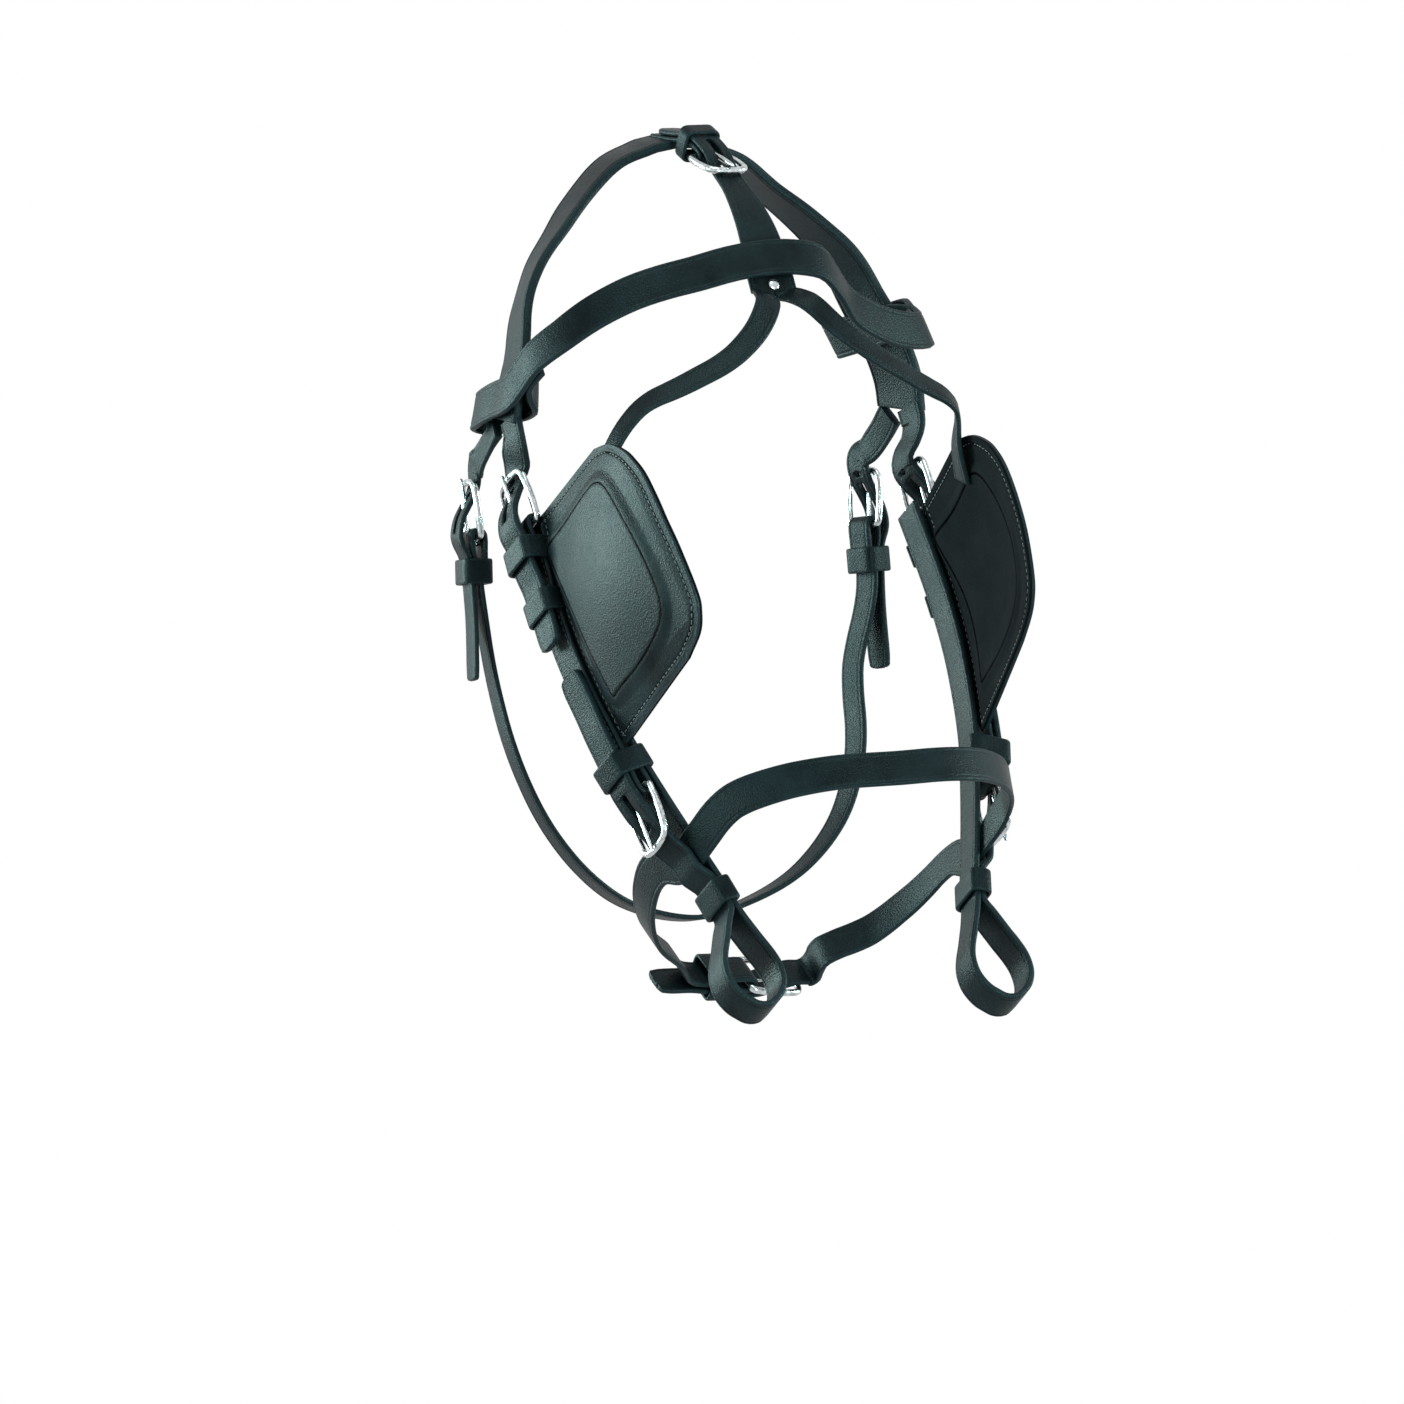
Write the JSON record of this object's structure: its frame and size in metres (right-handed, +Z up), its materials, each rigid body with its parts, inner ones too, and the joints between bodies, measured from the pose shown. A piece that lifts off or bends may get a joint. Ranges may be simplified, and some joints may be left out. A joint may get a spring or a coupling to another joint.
{
  "type": "driving bridle",
  "caption": "Leather driving bridle with square winkers, buckled cheeks, forked winker stay, browband, noseband and throatlatch, hanging from the poll.",
  "frame": {"origin": "middle of the level stretch on the crownpiece's underside, where the bridle hangs on the poll", "axes": "+X to the front of the head, +Y to the head's left, +Z up"},
  "size_m": [0.263, 0.253, 0.4298],
  "materials": {
    "strap_leather": "dyed and waxed bridle leather",
    "lining_leather": "matt lining leather",
    "nickel": "nickel plated",
    "plate_steel": "plain rolled"
  },
  "bodies": {
    "headstall": {"crownpiece": "strap_leather", "stay_hanger": "strap_leather", "winker_stay": "strap_leather", "stay_rivet": "nickel", "cheek_facing_right": "strap_leather", "cheek_strap_right": "strap_leather", "cheek_buckle_right_frame": "nickel", "bit_buckle_right_frame": "nickel", "throat_buckle_right_frame": "nickel", "upper_keeper_right": "strap_leather", "middle_keeper_right": "strap_leather", "lower_keeper_right": "strap_leather", "throat_keeper_right": "strap_leather", "cheek_facing_left": "strap_leather", "cheek_strap_left": "strap_leather", "cheek_buckle_left_frame": "nickel", "bit_buckle_left_frame": "nickel", "throat_buckle_left_frame": "nickel", "upper_keeper_left": "strap_leather", "middle_keeper_left": "strap_leather", "lower_keeper_left": "strap_leather", "throat_keeper_left": "strap_leather", "throatlatch": "strap_leather", "noseband": "strap_leather", "stay_buckle_frame": "nickel", "noseband_buckle_frame": "nickel", "stay_keeper": "strap_leather", "noseband_keeper": "strap_leather"},
    "browband": {"browband": "strap_leather"},
    "winker_right": {"winker_right_outer": "strap_leather", "winker_right_plate": "plate_steel", "winker_right_lining": "lining_leather"},
    "cheek_buckle_right_tongue": {"cheek_buckle_right_tongue": "nickel"},
    "bit_buckle_right_tongue": {"bit_buckle_right_tongue": "nickel"},
    "throat_buckle_right_tongue": {"throat_buckle_right_tongue": "nickel"},
    "bit_runner_right": {"bit_runner_right": "strap_leather"},
    "winker_left": {"winker_left_outer": "strap_leather", "winker_left_plate": "plate_steel", "winker_left_lining": "lining_leather"},
    "cheek_buckle_left_tongue": {"cheek_buckle_left_tongue": "nickel"},
    "bit_buckle_left_tongue": {"bit_buckle_left_tongue": "nickel"},
    "throat_buckle_left_tongue": {"throat_buckle_left_tongue": "nickel"},
    "bit_runner_left": {"bit_runner_left": "strap_leather"},
    "stay_buckle_tongue": {"stay_buckle_tongue": "nickel"},
    "noseband_buckle_tongue": {"noseband_buckle_tongue": "nickel"}
  },
  "joints": [
    {"name": "cheek_buckle_right_tongue_turn", "type": "hinge", "parent": "headstall", "child": "cheek_buckle_right_tongue", "pos_m": [0.06239, -0.1132, -0.18008], "axis": [0.8049, 0, 0.5934], "range_deg": [0, 20]},
    {"name": "bit_buckle_right_tongue_turn", "type": "hinge", "parent": "headstall", "child": "bit_buckle_right_tongue", "pos_m": [0.15274, -0.0988, -0.30263], "axis": [-0.8049, 0, -0.5934], "range_deg": [0, 20]},
    {"name": "throat_buckle_right_tongue_turn", "type": "hinge", "parent": "headstall", "child": "throat_buckle_right_tongue", "pos_m": [0.00653, -0.11105, -0.18899], "axis": [0.9655, -0.2052, 0.1602], "range_deg": [0, 20]},
    {"name": "bit_runner_right_slide", "type": "slide", "parent": "headstall", "child": "bit_runner_right", "axis": [0.5727, 0.2617, -0.7769], "range_m": [-0.002, 0.003]},
    {"name": "cheek_buckle_left_tongue_turn", "type": "hinge", "parent": "headstall", "child": "cheek_buckle_left_tongue", "pos_m": [0.06239, 0.1132, -0.18008], "axis": [-0.8049, 0, -0.5934], "range_deg": [0, 20]},
    {"name": "bit_buckle_left_tongue_turn", "type": "hinge", "parent": "headstall", "child": "bit_buckle_left_tongue", "pos_m": [0.15274, 0.0988, -0.30263], "axis": [0.8049, 0, 0.5934], "range_deg": [0, 20]},
    {"name": "throat_buckle_left_tongue_turn", "type": "hinge", "parent": "headstall", "child": "throat_buckle_left_tongue", "pos_m": [0.00653, 0.11105, -0.18899], "axis": [-0.9655, -0.2052, -0.1602], "range_deg": [0, 20]},
    {"name": "bit_runner_left_slide", "type": "slide", "parent": "headstall", "child": "bit_runner_left", "axis": [0.5727, -0.2617, -0.7769], "range_m": [-0.002, 0.003]},
    {"name": "stay_buckle_tongue_turn", "type": "hinge", "parent": "headstall", "child": "stay_buckle_tongue", "pos_m": [0.03559, 0, -0.00013], "axis": [0, -1, 0], "range_deg": [0, 60]},
    {"name": "noseband_buckle_tongue_turn", "type": "hinge", "parent": "headstall", "child": "noseband_buckle_tongue", "pos_m": [0.07893, 0.006, -0.4023], "axis": [-0.8572, 0, 0.515], "range_deg": [0, 15]},
    {"name": "winker_right_turn", "type": "hinge", "parent": "headstall", "child": "winker_right", "pos_m": [0.11324, -0.10786, -0.23253], "axis": [0.5917, 0.075, -0.8026], "range_deg": [-3, 3], "deforming": ["winker_stay"]},
    {"name": "winker_left_turn", "type": "hinge", "parent": "headstall", "child": "winker_left", "pos_m": [0.11324, 0.10786, -0.23253], "axis": [0.5917, -0.075, -0.8026], "range_deg": [-3, 3]},
    {"name": "browband_slide", "type": "slide", "parent": "headstall", "child": "browband", "axis": [-0.3011, 0, 0.9536], "range_m": [0, 0.003]}
  ],
  "couplings": [
    {"joint": "winker_left_turn", "follows": "winker_right_turn", "ratio": 1}
  ]
}
